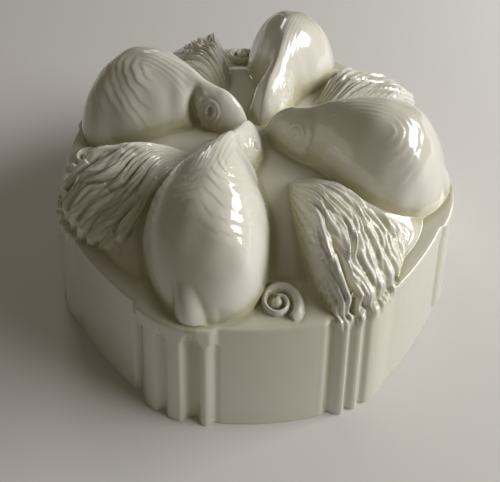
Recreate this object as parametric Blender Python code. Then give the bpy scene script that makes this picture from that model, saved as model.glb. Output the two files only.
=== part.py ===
"""A slip-cast earthenware jelly mould, standing mouth down as it is stored.

The mould is one fired casting. Its members are modelled as the potter forms them, each in its own
object: the reeded octagonal wall with its ledge, the crown that closes it, and four birds, four tufts
of grass and four fern scrolls, luted on round the crown. The birds and tufts are hollow down to the
mouth, so that the jelly takes their shape, and nothing inside is undercut.

Lengths are in millimetres until a mesh is made, which turns them into metres. +Z is up, the origin is
the middle of the mouth, on the table, and the panel that faces -Y has a scroll above it.
"""

import math

import bmesh
import bpy
from mathutils import Vector
from mathutils.geometry import intersect_line_line_2d

MM = 0.001
SIDES = 8
QUARTER = math.pi / 2

# Wall
MOUTH_APOTHEM = 73.9
WALL_HEIGHT = 45.2
WALL_DRAFT = math.radians(16.0)
WALL_THICKNESS = 4.5
PANEL_SHARE = 0.572
PANEL_BOW = 1.3
EDGE_ROUND = 1.4
EDGE_STEPS = 3

# Where the points of a panel lie, as shares of its half width; the last ones are in the coves
PANEL_SHARES = (-1.0, -0.87, -0.5, 0.0, 0.5, 0.87, 1.0)

# Reeded corners, with a cove between the reeds and each panel
REEDS_PER_CORNER = 3
REED_STEPS = 5
REED_DEPTH = 1.9
REED_SHARE_INSIDE = 0.45
COVE_DEPTH = 0.8
CORNER_BULGE = 2.0

# Ledge and crown
LEDGE_WIDTH = 7.0
SCROLL_LEDGE_WIDTH = 13.5
CROWN_RISE = 8.0
CROWN_TOP_SHARE = 0.4
CROWN_THICKNESS = 4.0

# How the crown slopes up from the ledge to its flat top, as shares of its run and rise
CROWN_SLOPE = (
    (0.0, 0.0),
    (0.3, 0.5),
    (0.65, 0.86),
    (1.0, 1.0),
)

# Birds
BIRD_ANGLE = math.radians(-112.5)
BEAK_FROM_CENTRE = 2.5
RUMP_FROM_CORNER = 4.0
BIRD_RISE = 29.1
BIRD_HALF_WIDTH = 17.8
RUMP_SWAY = 4.0
BIRD_WALL = 4.2
BIRD_STATIONS = 20
BIRD_ARCH_STEPS = 16

# A bird from beak to rump: how high its back is, as shares of its length and rise
BACK_LINE = (
    (0.0, 0.285),
    (0.017, 0.405),
    (0.042, 0.536),
    (0.076, 0.629),
    (0.126, 0.711),
    (0.185, 0.746),
    (0.244, 0.794),
    (0.311, 0.893),
    (0.395, 0.959),
    (0.513, 1.0),
    (0.613, 0.976),
    (0.714, 0.887),
    (0.815, 0.691),
    (0.9, 0.44),
    (0.966, 0.18),
    (1.0, 0.04),
)

# And how wide it is: beak, head, neck, body and rump, as shares of its length and half width
FLANK_LINE = (
    (0.0, 0.12),
    (0.042, 0.28),
    (0.09, 0.38),
    (0.15, 0.41),
    (0.21, 0.40),
    (0.27, 0.43),
    (0.34, 0.60),
    (0.42, 0.79),
    (0.52, 0.94),
    (0.66, 1.0),
    (0.80, 0.96),
    (0.90, 0.78),
    (0.96, 0.52),
    (1.0, 0.2),
)

# How far its middle line has swung to its left, as shares of its length and of the sway at its rump
SWAY_LINE = (
    (0.0, 0.0),
    (0.5, 0.0),
    (0.7, 0.28),
    (0.85, 0.7),
    (1.0, 1.0),
)

# Tails
TAIL_PROUD = 1.2
TAIL_LENGTH = 7.2
TAIL_HALF_WIDTH = 2.4
TAIL_RISE = 12.5
TAIL_TURN = math.radians(4.0)
TAIL_STATIONS = 6
TAIL_ARCH_STEPS = 8

# Tufts of grass
TUFT_ANGLE = math.radians(-67.5)
TUFT_FROM_CENTRE = 20.0
TUFT_FROM_CORNER = 3.5
TUFT_RISE = 21.0
TUFT_SCROLL_SIDE = 8.6
TUFT_PLAIN_SIDE = 22.0
TUFT_WALL = 4.2
TUFT_STATIONS = 12
TUFT_STRANDS = 8
STRAND_STEPS = 4
STRAND_DEPTH = 1.3
HOLLOW_ARCH_STEPS = 12

# A tuft from its inner end to the wall: how high its crest is, as shares of its length and rise
CREST_LINE = (
    (0.0, 0.25),
    (0.165, 0.56),
    (0.33, 0.82),
    (0.5, 0.99),
    (0.65, 0.97),
    (0.78, 0.78),
    (0.89, 0.48),
    (1.0, 0.08),
)

# How far it spreads towards the scroll, as shares of its length and of that side's width
SCROLL_SPREAD_LINE = (
    (0.0, 0.35),
    (0.16, 0.65),
    (0.3, 0.92),
    (0.5, 1.0),
    (0.8, 1.0),
    (1.0, 0.85),
)

# And towards the plain ledge, where it leans on the next bird
PLAIN_SPREAD_LINE = (
    (0.0, 0.18),
    (0.16, 0.38),
    (0.33, 0.62),
    (0.5, 0.86),
    (0.65, 1.0),
    (0.78, 0.97),
    (0.9, 0.66),
    (1.0, 0.32),
)

# Fern scrolls
SCROLL_ANGLE = math.radians(-86.5)
SCROLL_RADIUS = 5.2
SCROLL_TURNS = 1.45
SCROLL_STEPS_PER_TURN = 14
SCROLL_START = math.radians(60.0)
SCROLL_HEART_SHARE = 0.28
SCROLL_BAND_RADIUS = 0.9
SCROLL_FROM_EDGE = 6.2
SCROLL_SINK = 0.5
SCROLL_SIDES = 2

# Joints between members
SEAT_GAP = 0.3
ROOT_DEPTH = 8.0
CUTTER_DEPTH = 24.0
HOLLOW_MARGIN = 2.6
HOLLOW_TIP_HALF = 1.0
WELD_DISTANCE = 0.001

GLAZE = (0.83, 0.80, 0.70, 1.0)
GLAZE_ROUGHNESS = 0.12

# What follows from these: a panel is a share of its side, and each figure ends short of a top corner
PANEL_WIDTH = PANEL_SHARE * 2 * MOUTH_APOTHEM * math.tan(math.pi / SIDES)
WALL_TOP_APOTHEM = MOUTH_APOTHEM - WALL_HEIGHT * math.tan(WALL_DRAFT)
WALL_TOP_CORNER = WALL_TOP_APOTHEM / math.cos(math.pi / SIDES)
RUMP_FROM_CENTRE = WALL_TOP_CORNER - RUMP_FROM_CORNER
TAIL_FROM_CENTRE = RUMP_FROM_CENTRE + TAIL_PROUD - TAIL_LENGTH
TUFT_LENGTH = WALL_TOP_CORNER - TUFT_FROM_CORNER - TUFT_FROM_CENTRE


def clear_scene():
    """Removes whatever the file holds before the mould is made."""
    for found in list(bpy.data.objects):
        bpy.data.objects.remove(found)


def glaze_material():
    """The cream glaze that covers the whole casting."""
    material = bpy.data.materials.new("cream_glaze")
    material.use_nodes = True
    shader = material.node_tree.nodes["Principled BSDF"]
    shader.inputs["Base Color"].default_value = GLAZE
    shader.inputs["Roughness"].default_value = GLAZE_ROUGHNESS
    shader.inputs["Metallic"].default_value = 0.0
    shader.inputs["Coat Weight"].default_value = 1.0
    return material


def along_line(line, share):
    """The value at a share along a line of (share, value) points, by a Catmull-Rom curve."""
    last = len(line) - 1
    start = max(i for i in range(last) if line[i][0] <= share or i == 0)
    (x0, y0), (x1, y1) = line[start], line[start + 1]
    before = line[max(start - 1, 0)]
    after = line[min(start + 2, last)]
    span = x1 - x0
    slope0 = (y1 - before[1]) / (x1 - before[0]) * span
    slope1 = (after[1] - y0) / (after[0] - x0) * span
    t = (share - x0) / span
    ends = (2 * t**3 - 3 * t**2 + 1) * y0 + (3 * t**2 - 2 * t**3) * y1
    return ends + (t**3 - 2 * t**2 + t) * slope0 + (t**3 - t**2) * slope1


def eased_shares(count):
    """Shares from 0 to 1 that crowd towards both ends, for a form with rounded ends."""
    return [0.5 - 0.5 * math.cos(math.pi * i / (count - 1)) for i in range(count)]


def turned(point, angle):
    """A point of (along, across, up), turned about +Z."""
    along, across, up = point
    c, s = math.cos(angle), math.sin(angle)
    return Vector((along * c - across * s, along * s + across * c, up))


def add_object(name, mesh):
    """A mesh in millimetres as a named object in metres."""
    bm = bmesh.new()
    bm.from_mesh(mesh)
    bmesh.ops.remove_doubles(bm, verts=bm.verts, dist=WELD_DISTANCE)
    bmesh.ops.recalc_face_normals(bm, faces=bm.faces)
    bmesh.ops.scale(bm, vec=(MM, MM, MM), verts=bm.verts)
    bm.to_mesh(mesh)
    bm.free()
    made = bpy.data.objects.new(name, mesh)
    bpy.context.scene.collection.objects.link(made)
    return made


def loft(name, sections, capped=True):
    """A solid through closed sections; without caps the last section joins the first."""
    bm = bmesh.new()
    rings = [[bm.verts.new(p) for p in section] for section in sections]
    pairs = list(zip(rings, rings[1:]))
    if capped:
        bm.faces.new(rings[0])
        bm.faces.new(rings[-1])
    else:
        pairs.append((rings[-1], rings[0]))
    for first, second in pairs:
        for i in range(len(first)):
            j = (i + 1) % len(first)
            bm.faces.new((first[i], first[j], second[j], second[i]))
    mesh = bpy.data.meshes.new(name)
    bm.to_mesh(mesh)
    bm.free()
    return add_object(name, mesh)


def as_tool(made):
    """Marks an object as one that only shapes others."""
    made.hide_render = True
    made.display_type = "WIRE"
    return made


def boolean(target, tool, operation="DIFFERENCE"):
    """Adds an exact Boolean to a member."""
    modifier = target.modifiers.new(f"{operation.lower()}_{tool.name}", "BOOLEAN")
    modifier.operation = operation
    modifier.object = tool
    modifier.solver = "EXACT"


def finish(made, material):
    """Glazes a member and shades its round forms smooth."""
    made.data.materials.append(material)
    made.data.shade_smooth()
    made.data.set_sharp_from_angle(angle=math.radians(35))


def side_frame(side):
    """The outward and sideways directions of a side; side 0 faces -Y."""
    angle = -QUARTER + side * 2 * math.pi / SIDES
    out = Vector((math.cos(angle), math.sin(angle)))
    return out, Vector((-out.y, out.x))


def corner_point(apothems, side):
    """Where a side meets the next one, in an octagon with one apothem for every other side."""
    ends = []
    for k in (side, side + 1):
        out, sideways = side_frame(k)
        middle = out * apothems[k % 2]
        reach = sideways * apothems[k % 2] * 2
        ends += [middle - reach, middle + reach]
    return intersect_line_line_2d(*ends)


def octagon(apothems, height):
    """The eight corners of an octagon as a section."""
    corners = [corner_point(apothems, side) for side in range(SIDES)]
    return [(p.x, p.y, height) for p in corners]


def wall_section(apothem, height, relief):
    """One section of the wall: bowed panels, with a cove and a cluster of reeds at each corner."""
    scale = apothem / MOUTH_APOTHEM
    half_panel = PANEL_WIDTH * scale / 2
    steps = REEDS_PER_CORNER * REED_STEPS
    section = []
    for side in range(SIDES):
        out, sideways = side_frame(side)
        next_out, next_sideways = side_frame(side + 1)
        corner_out = (out + next_out).normalized()
        for share in PANEL_SHARES:
            depth = -COVE_DEPTH * relief if abs(share) == 1.0 else PANEL_BOW * scale * (1 - share**2)
            section.append(out * (apothem + depth) + sideways * half_panel * share)
        near_end = out * apothem + sideways * half_panel
        far_end = next_out * apothem - next_sideways * half_panel
        for step in range(1, steps):
            t = step / steps
            reed = abs(math.sin(math.pi * REEDS_PER_CORNER * t)) ** 0.6
            raised = CORNER_BULGE * 4 * t * (1 - t) - COVE_DEPTH * relief * (1 - math.sin(math.pi * t))
            raised += REED_DEPTH * relief * (reed - 0.35 * math.sin(math.pi * t))
            section.append(near_end.lerp(far_end, t) + corner_out * raised)
    return [(p.x, p.y, height) for p in section]


def ledge_section(apothem, height):
    """The inner edge of the ledge: an octagon with as many points as a section of the wall."""
    apothems = (apothem, apothem)
    reeds = REEDS_PER_CORNER * REED_STEPS
    to_corner = reeds // 2
    straight = PANEL_WIDTH / (2 * MOUTH_APOTHEM * math.tan(math.pi / SIDES))
    section = []
    for side in range(SIDES):
        corner = corner_point(apothems, side)
        middle = corner_point(apothems, side - 1).lerp(corner, 0.5)
        next_middle = corner_point(apothems, side + 1).lerp(corner, 0.5)
        section += [middle.lerp(corner, share * straight) for share in PANEL_SHARES]
        for step in range(1, reeds):
            if step <= to_corner:
                t = straight + (1 - straight) * step / to_corner
                section.append(middle.lerp(corner, t))
            else:
                t = straight + (1 - straight) * (reeds - step) / (reeds - to_corner)
                section.append(next_middle.lerp(corner, t))
    return [(p.x, p.y, height) for p in section]


def make_wall():
    """The octagonal wall, turned in at the top to a flat ledge with a rounded outer edge."""
    soft = REED_SHARE_INSIDE
    top_relief = WALL_TOP_APOTHEM / MOUTH_APOTHEM
    sections = [wall_section(MOUTH_APOTHEM, 0.0, 1.0)]
    for i in range(EDGE_STEPS + 1):
        turn = QUARTER * i / EDGE_STEPS
        apothem = WALL_TOP_APOTHEM - EDGE_ROUND * (1 - math.cos(turn))
        height = WALL_HEIGHT - EDGE_ROUND * (1 - math.sin(turn))
        sections.append(wall_section(apothem, height, top_relief))
    ledge = WALL_TOP_APOTHEM - LEDGE_WIDTH
    inner_top = WALL_TOP_APOTHEM - WALL_THICKNESS
    sections += [
        ledge_section(ledge, WALL_HEIGHT),
        ledge_section(ledge, WALL_HEIGHT - CROWN_THICKNESS),
        wall_section(inner_top, WALL_HEIGHT - CROWN_THICKNESS, soft),
        wall_section(MOUTH_APOTHEM - WALL_THICKNESS, 0.0, soft),
    ]
    return loft("wall", sections, capped=False)


def crown_profile():
    """(Pair of apothems, height) up the crown, which is flat by the scrolls and then slopes up."""
    flat_top = WALL_TOP_APOTHEM * CROWN_TOP_SHARE
    edge = WALL_TOP_APOTHEM - LEDGE_WIDTH - SEAT_GAP
    foot = (WALL_TOP_APOTHEM - SCROLL_LEDGE_WIDTH, edge - SEAT_GAP)
    profile = [((edge, edge), WALL_HEIGHT)]
    for run, rise in CROWN_SLOPE:
        apothems = tuple(a + (flat_top - a) * run for a in foot)
        profile.append((apothems, WALL_HEIGHT + CROWN_RISE * rise))
    return profile


def make_crown():
    """The crown's shell inside the ledge, raised in the middle, on which the figures are luted."""
    top = [octagon(apothems, z) for apothems, z in crown_profile()]
    under = [octagon(apothems, z - CROWN_THICKNESS) for apothems, z in crown_profile()]
    return loft("crown", under[::-1] + top)


def make_seat_tool():
    """What lies under the figures' seats: the crown and the ledge, raised by the seat gap."""
    beyond = (MOUTH_APOTHEM * 1.4,) * 2
    sections = [octagon(beyond, WALL_HEIGHT - CUTTER_DEPTH), octagon(beyond, WALL_HEIGHT + SEAT_GAP)]
    sections += [octagon(apothems, z + SEAT_GAP) for apothems, z in crown_profile()]
    return as_tool(loft("seat_tool", sections))


def arch(along, middle, sides, crest, root, steps, angle, ripple=None):
    """An arch across a figure: up one flank, over the crest and down the other, shut at the root."""
    section = []
    for step in range(steps + 1):
        a = math.pi * step / steps
        lift = ripple(step) if ripple else 0.0
        half = sides[0] if math.cos(a) > 0 else sides[1]
        across = -math.copysign((half + lift) * abs(math.cos(a)) ** 0.9, math.cos(a))
        up = root + (crest + lift - root) * math.sin(a) ** 0.9
        section.append(turned((along, middle + across, up), angle))
    return section


def make_bird(name, angle, inset, root):
    """A bird's body as a loft of arches from beak to rump, inset by its wall for its hollow."""
    length = RUMP_FROM_CENTRE - BEAK_FROM_CENTRE - 2 * inset
    sections = []
    for share in eased_shares(BIRD_STATIONS):
        along = BEAK_FROM_CENTRE + inset + share * length
        middle = RUMP_SWAY * along_line(SWAY_LINE, share)
        half = max(BIRD_HALF_WIDTH * along_line(FLANK_LINE, share) - inset, HOLLOW_TIP_HALF)
        crest = WALL_HEIGHT + BIRD_RISE * along_line(BACK_LINE, share) - inset
        sections.append(arch(along, middle, (half, half), crest, root, BIRD_ARCH_STEPS, angle))
    return loft(name, sections)


def make_tuft(name, angle, inset, root):
    """A tuft as a loft of arches, grooved between its strands outside and smooth inside."""
    length = TUFT_LENGTH - 2 * inset
    steps = HOLLOW_ARCH_STEPS if inset else TUFT_STRANDS * STRAND_STEPS

    def strands(step):
        round_top = abs(math.sin(math.pi * step / STRAND_STEPS))
        return 0.0 if inset else STRAND_DEPTH * (round_top - 0.5)

    sections = []
    for i in range(TUFT_STATIONS):
        share = i / (TUFT_STATIONS - 1)
        along = TUFT_FROM_CENTRE + inset + share * length
        scroll_side = TUFT_SCROLL_SIDE * along_line(SCROLL_SPREAD_LINE, share)
        plain_side = TUFT_PLAIN_SIDE * along_line(PLAIN_SPREAD_LINE, share)
        sides = [max(side - inset, HOLLOW_TIP_HALF) for side in (scroll_side, plain_side)]
        crest = WALL_HEIGHT + TUFT_RISE * along_line(CREST_LINE, share) - inset
        sections.append(arch(along, 0.0, sides, crest, root, steps, angle, strands))
    return loft(name, sections)


def make_tail(name, angle):
    """The small upturned tail at a bird's rump, over the reeds."""
    sections = []
    for i in range(TAIL_STATIONS):
        share = i / (TAIL_STATIONS - 1)
        half = TAIL_HALF_WIDTH * math.sqrt(1.04 - (1.6 * share - 0.6) ** 2)
        crest = WALL_HEIGHT + SEAT_GAP * 2 + TAIL_RISE * (1 - share**1.8)
        along = TAIL_FROM_CENTRE + share * TAIL_LENGTH
        root = WALL_HEIGHT - ROOT_DEPTH
        sections.append(arch(along, 0.0, (half, half), crest, root, TAIL_ARCH_STEPS, angle))
    return as_tool(loft(name, sections))


def make_core_tool():
    """How far out the figures may be hollow: a wall's thickness inside the crown's edge."""
    apothem = WALL_TOP_APOTHEM - LEDGE_WIDTH - HOLLOW_MARGIN
    top = WALL_HEIGHT + BIRD_RISE
    heights = (WALL_HEIGHT - CUTTER_DEPTH * 2, top)
    return as_tool(loft("core_tool", [octagon((apothem, apothem), height) for height in heights]))


def seat_figure(figure, hollow, core, seats, crown, material):
    """Hollows a figure, cuts it to its seat and opens the crown under it."""
    hollow.modifiers.new("flat_faces", "TRIANGULATE")
    boolean(as_tool(hollow), core, "INTERSECT")
    boolean(figure, hollow)
    boolean(figure, seats)
    boolean(crown, hollow)
    finish(figure, material)


def make_scroll(name, angle, seats, birds, material):
    """A fern scroll: a half-round band wound in from its stem to its heart, flat on the ledge."""
    from_centre = WALL_TOP_APOTHEM - SCROLL_FROM_EDGE
    count = round(SCROLL_TURNS * SCROLL_STEPS_PER_TURN)
    curve = bpy.data.curves.new(name, "CURVE")
    curve.dimensions = "3D"
    curve.bevel_depth = SCROLL_BAND_RADIUS
    curve.bevel_resolution = SCROLL_SIDES
    curve.use_fill_caps = True
    spline = curve.splines.new("POLY")
    spline.points.add(count)
    for i, point in enumerate(spline.points):
        share = i / count
        radius = (SCROLL_RADIUS - SCROLL_BAND_RADIUS) * (1 - (1 - SCROLL_HEART_SHARE) * share)
        turn = SCROLL_START - share * SCROLL_TURNS * 2 * math.pi
        along = from_centre + radius * math.cos(turn)
        up = WALL_HEIGHT + SCROLL_BAND_RADIUS * SCROLL_SINK
        point.co = (*turned((along, radius * math.sin(turn), up), angle), 1.0)
    wound = bpy.data.objects.new(f"{name}_curve", curve)
    scroll = add_object(name, bpy.data.meshes.new_from_object(wound))
    bpy.data.objects.remove(wound)
    for tool in (seats, *birds):
        boolean(scroll, tool)
    finish(scroll, material)


def main():
    """Makes the wall and crown, then luts a bird, a tuft and a scroll on in each quarter."""
    clear_scene()
    material = glaze_material()
    finish(make_wall(), material)
    crown = make_crown()
    seats = make_seat_tool()
    core = make_core_tool()
    root = WALL_HEIGHT - ROOT_DEPTH
    deep = WALL_HEIGHT - CUTTER_DEPTH
    bird_angles = [BIRD_ANGLE + quarter * QUARTER for quarter in range(4)]
    tool_root = root - SEAT_GAP
    bird_tools = []
    for i, angle in enumerate(bird_angles):
        bird_tools.append(as_tool(make_bird(f"bird_tool_{i + 1}", angle, -SEAT_GAP, tool_root)))
    for number in range(1, 5):
        turn = (number - 1) * QUARTER
        bird_angle = bird_angles[number - 1]
        bird = make_bird(f"bird_{number}", bird_angle, 0.0, root)
        boolean(bird, make_tail(f"tail_tool_{number}", bird_angle + TAIL_TURN), "UNION")
        hollow = make_bird(f"bird_hollow_{number}", bird_angle, BIRD_WALL, deep)
        seat_figure(bird, hollow, core, seats, crown, material)
        tuft = make_tuft(f"grass_tuft_{number}", TUFT_ANGLE + turn, 0.0, root)
        beside = (bird_tools[number - 1], bird_tools[number % 4])
        for tool in beside:
            boolean(tuft, tool)
        hollow = make_tuft(f"tuft_hollow_{number}", TUFT_ANGLE + turn, TUFT_WALL, deep)
        seat_figure(tuft, hollow, core, seats, crown, material)
        make_scroll(f"fern_scroll_{number}", SCROLL_ANGLE + turn, seats, beside, material)
    finish(crown, material)


main()
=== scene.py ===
"""The looks of a cream-glazed earthenware jelly mould, standing mouth down on a pale table.

The mould is one casting, so its skin is worked out once, over the whole form, and each member is then
cut from it as a closed shell of its own: the reeded wall, the crown, four birds, four tufts of grass
and four fern scrolls. Neighbours share the same edge and the same normals, so the glaze runs across
them without a seam.

The form is worked out in millimetres, in the frame's axes, and turned into metres as a mesh is made.
A figure's own axes are along, from the middle of the mould outwards, and across, anticlockwise from it.
"""

import logging
import math
from dataclasses import dataclass, field
from enum import Enum

import bpy
import numpy as np
from mathutils import Matrix, Vector


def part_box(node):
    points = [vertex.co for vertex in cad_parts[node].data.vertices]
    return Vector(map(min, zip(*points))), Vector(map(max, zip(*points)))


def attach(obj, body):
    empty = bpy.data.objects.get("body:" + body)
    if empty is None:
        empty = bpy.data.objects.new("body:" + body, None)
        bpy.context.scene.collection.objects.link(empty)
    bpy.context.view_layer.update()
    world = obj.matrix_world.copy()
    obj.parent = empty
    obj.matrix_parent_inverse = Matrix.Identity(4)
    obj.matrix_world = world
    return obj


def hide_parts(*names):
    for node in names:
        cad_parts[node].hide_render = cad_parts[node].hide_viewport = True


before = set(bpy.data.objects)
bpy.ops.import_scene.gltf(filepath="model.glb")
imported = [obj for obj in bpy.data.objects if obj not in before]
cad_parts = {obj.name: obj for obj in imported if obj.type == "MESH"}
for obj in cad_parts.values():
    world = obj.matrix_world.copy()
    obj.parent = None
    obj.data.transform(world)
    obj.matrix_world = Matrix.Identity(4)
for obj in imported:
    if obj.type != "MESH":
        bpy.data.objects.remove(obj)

LOG = logging.getLogger("jelly_mould")
MM = 0.001
TINY = 1e-12
TURN = 2 * math.pi
QUARTER = math.pi / 2
SIDES = 8
HALF_SIDE = math.pi / SIDES
BELOW_ALL = -1e3
GLAZE_DEPTH = "glaze_depth"
Array = np.ndarray
Socket = bpy.types.NodeSocket


class Member(Enum):
    """The members of the casting, by the name that their nodes start with."""

    WALL = "wall"
    CROWN = "crown"
    BIRD = "bird"
    TUFT = "grass_tuft"
    SCROLL = "fern_scroll"


class CellKind(Enum):
    """Which skin of a member's shell a face belongs to."""

    OUTSIDE = 0
    INSIDE = 1
    CUT = 2


def smoothstep(low: float, high: float, x: Array) -> Array:
    """Eases from 0 at low to 1 at high."""
    t = np.clip((x - low) / (high - low), 0.0, 1.0)
    return t * t * (3.0 - 2.0 * t)


def within(zone: tuple, x: Array) -> Array:
    """Eases in between the first two places of a zone and out between its last two."""
    return smoothstep(zone[0], zone[1], x) * (1 - smoothstep(zone[2], zone[3], x))


def smooth_max(a: Array, b: Array, blend: float) -> Array:
    """The larger of two heights, filled softly over a blend where they meet."""
    near = np.maximum(blend - np.abs(a - b), 0.0) / blend
    return np.maximum(a, b) + near * near * blend * 0.25


def bell(x: Array, width: float) -> Array:
    """A bell of height 1 round zero."""
    return np.exp(-((x / width) ** 2))


def through(line: tuple, x: Array) -> Array:
    """A smooth curve through a line of (place, value) points.

    Args:
        line: The points, in order of place.
        x: Where to read the curve; it stays level beyond its ends.

    Returns:
        The curve's value at each place.
    """
    place, value = np.array(line, float).T
    slope = np.gradient(value, place)
    i = np.clip(np.searchsorted(place, x) - 1, 0, len(place) - 2)
    span = place[i + 1] - place[i]
    t = np.clip((x - place[i]) / span, 0.0, 1.0)
    start = (2 * t**3 - 3 * t**2 + 1) * value[i] + (t**3 - 2 * t**2 + t) * span * slope[i]
    end = (3 * t**2 - 2 * t**3) * value[i + 1] + (t**3 - t**2) * span * slope[i + 1]
    return start + end


def hashed(index: Array, seed: float) -> Array:
    """A fixed scatter of values from 0 to 1, one for each whole number."""
    wave = np.sin(index * 12.9898 + seed * 78.233) * 43758.5453
    return wave - np.floor(wave)


def soften(grid: Array, radius: float, spacing: float) -> Array:
    """Blurs a square grid of heights by a bell.

    Args:
        grid: The heights.
        radius: The bell's radius in millimetres.
        spacing: The distance between two points of the grid.

    Returns:
        The softened heights.
    """
    reach = int(math.ceil(2.5 * radius / spacing))
    steps = np.arange(-reach, reach + 1) * spacing
    weights = np.exp(-0.5 * (steps / radius) ** 2)
    weights /= weights.sum()
    padded = np.pad(grid, reach, mode="edge")
    rows = np.apply_along_axis(np.convolve, 0, padded, weights, mode="valid")
    return np.apply_along_axis(np.convolve, 1, rows, weights, mode="valid")


@dataclass(frozen=True)
class ReedCluster:
    """The reeds of every other corner, by how far their outline stands out across the corner.

    A place is -1 where the panel on the clockwise side ends and 1 where the next panel begins.
    """

    stand_line: tuple
    crest: float
    arch: float
    ends: tuple = (0.95, 1.2)

    def stand(self, place: Array, carved: float) -> Array:
        """How far the outline stands out from the plain corner.

        Args:
            place: The places across the corner.
            carved: How far down from the ledge the grooves have been cut in, from 0 to 1. They end
                in a point there, because only their deepest part reaches up.

        Returns:
            The distance in millimetres, below zero in a groove.
        """
        level = self.crest * (1 - smoothstep(*self.ends, np.abs(place)))
        depth = np.maximum(level - through(self.stand_line, place), 0.0)
        return level - np.maximum(depth - (1 - carved) * self.arch, 0.0)


BIRD_CORNER = ReedCluster(
    stand_line=(
        (-1.25, 0.0), (-1.07, -0.75), (-0.9, 0.4), (-0.64, 1.1), (-0.42, 0.9), (-0.27, -0.5),
        (-0.13, 0.7), (0.08, 1.15), (0.26, 1.0), (0.35, -0.3), (0.5, -1.25), (0.64, -0.8),
        (0.77, 0.7), (0.88, 1.1), (0.99, 0.6), (1.09, -0.1), (1.25, 0.0),
    ),
    crest=1.15,
    arch=2.6,
)
TUFT_CORNER = ReedCluster(
    stand_line=(
        (-1.25, 0.0), (-1.04, -0.15), (-0.9, -1.0), (-0.76, -0.2), (-0.62, 0.75), (-0.5, 0.9),
        (-0.38, -0.5), (-0.26, 0.55), (-0.13, 0.85), (0.02, -0.3), (0.14, 0.65), (0.3, 0.95),
        (0.6, 0.75), (0.9, 0.25), (1.1, 0.0), (1.25, 0.0),
    ),
    crest=0.95,
    arch=0.0,
)


@dataclass
class WallOutline:
    """The wall's outline: eight bowed panels, with a cluster of reeds at each corner.

    The wall leans in by its draft from the mouth to the ledge.
    """

    height: float
    mouth_apothem: float = 73.9
    draft: float = math.radians(16.0)
    panel_width: float = 35.0
    panel_bow: float = 1.3
    corner_bulge: float = 2.0
    thickness: float = 4.5
    edge_round: float = 1.4
    rim_round: float = 0.7
    pooling_groove: tuple = (0.1, 1.2)
    clusters: tuple = (TUFT_CORNER, BIRD_CORNER)

    def apothem(self, height: float) -> float:
        """How far the panels stand from the middle at a height."""
        return self.mouth_apothem - height * math.tan(self.draft)

    @property
    def top_apothem(self) -> float:
        """The apothem of the flat ledge's outer edge."""
        return self.apothem(self.height) - self.edge_round

    def from_corner(self, theta: Array) -> Array:
        """The angle of each direction from the nearest corner of the octagon."""
        return np.mod(theta + QUARTER, 2 * HALF_SIDE) - HALF_SIDE

    def plain_radius(self, theta: Array, apothem: float) -> Array:
        """The radius of a plain octagon."""
        return apothem / np.cos(HALF_SIDE - np.abs(self.from_corner(theta)))

    def corner_axes(self, apothem: float, half_panel: float) -> tuple[float, float]:
        """Where the chord across a corner lies.

        Args:
            apothem: How far the panels' plane stands from the middle.
            half_panel: Half a panel's width.

        Returns:
            How far out the chord stands from the middle, and half its length.
        """
        axial = apothem * math.cos(HALF_SIDE) + half_panel * math.sin(HALF_SIDE)
        half_corner = apothem * math.sin(HALF_SIDE) - half_panel * math.cos(HALF_SIDE)
        return axial, half_corner

    def corner_place(self, theta: Array) -> Array:
        """The place of each direction across its cluster of reeds."""
        axial, half_corner = self.corner_axes(self.mouth_apothem, self.panel_width / 2)
        return axial * np.tan(self.from_corner(theta)) / half_corner

    def stand(self, theta: Array, carved: float) -> Array:
        """How far the reeds stand out from the plain corners.

        Args:
            theta: The directions.
            carved: How far the grooves have been cut in below the ledge, from 0 to 1.

        Returns:
            The distance in each direction.
        """
        place = self.corner_place(theta)
        corner = np.floor(np.mod(theta + QUARTER, TURN) / (TURN / SIDES))
        first, second = (cluster.stand(place, carved) for cluster in self.clusters)
        return np.where(np.mod(corner, 2) < 0.5, first, second)

    def radius(self, theta: Array, apothem: float, relief: float, carved: float = 1.0) -> Array:
        """The radius of the outline.

        Args:
            theta: The directions.
            apothem: How far the panels' plane stands from the middle.
            relief: How much of the reeds' depth is there.
            carved: How far the reeds' grooves have been cut in below the ledge.

        Returns:
            The radius in each direction.
        """
        scale = apothem / self.mouth_apothem
        phi = self.from_corner(theta)
        half_panel = self.panel_width * scale / 2
        axial_base, half_corner = self.corner_axes(apothem, half_panel)
        axial = np.full_like(phi, axial_base)
        for _ in range(4):
            u = np.clip(axial * np.tan(np.abs(phi)) / half_corner, 0.0, 1.0)
            axial = axial_base + self.corner_bulge * scale * (1 - u**2)
        beta = HALF_SIDE - np.abs(phi)
        share = np.clip(apothem * np.tan(beta) / half_panel, 0.0, 1.0)
        panel = apothem + self.panel_bow * scale * (1 - share**2)
        plain = np.where(u < 1.0, axial / np.cos(phi), panel / np.cos(beta))
        return plain + relief * self.stand(theta, carved)

    def groove(self, theta: Array) -> Array:
        """Where glaze gathers between the reeds, from 0 to 1."""
        return smoothstep(*self.pooling_groove, -self.stand(theta, 1.0))


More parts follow.
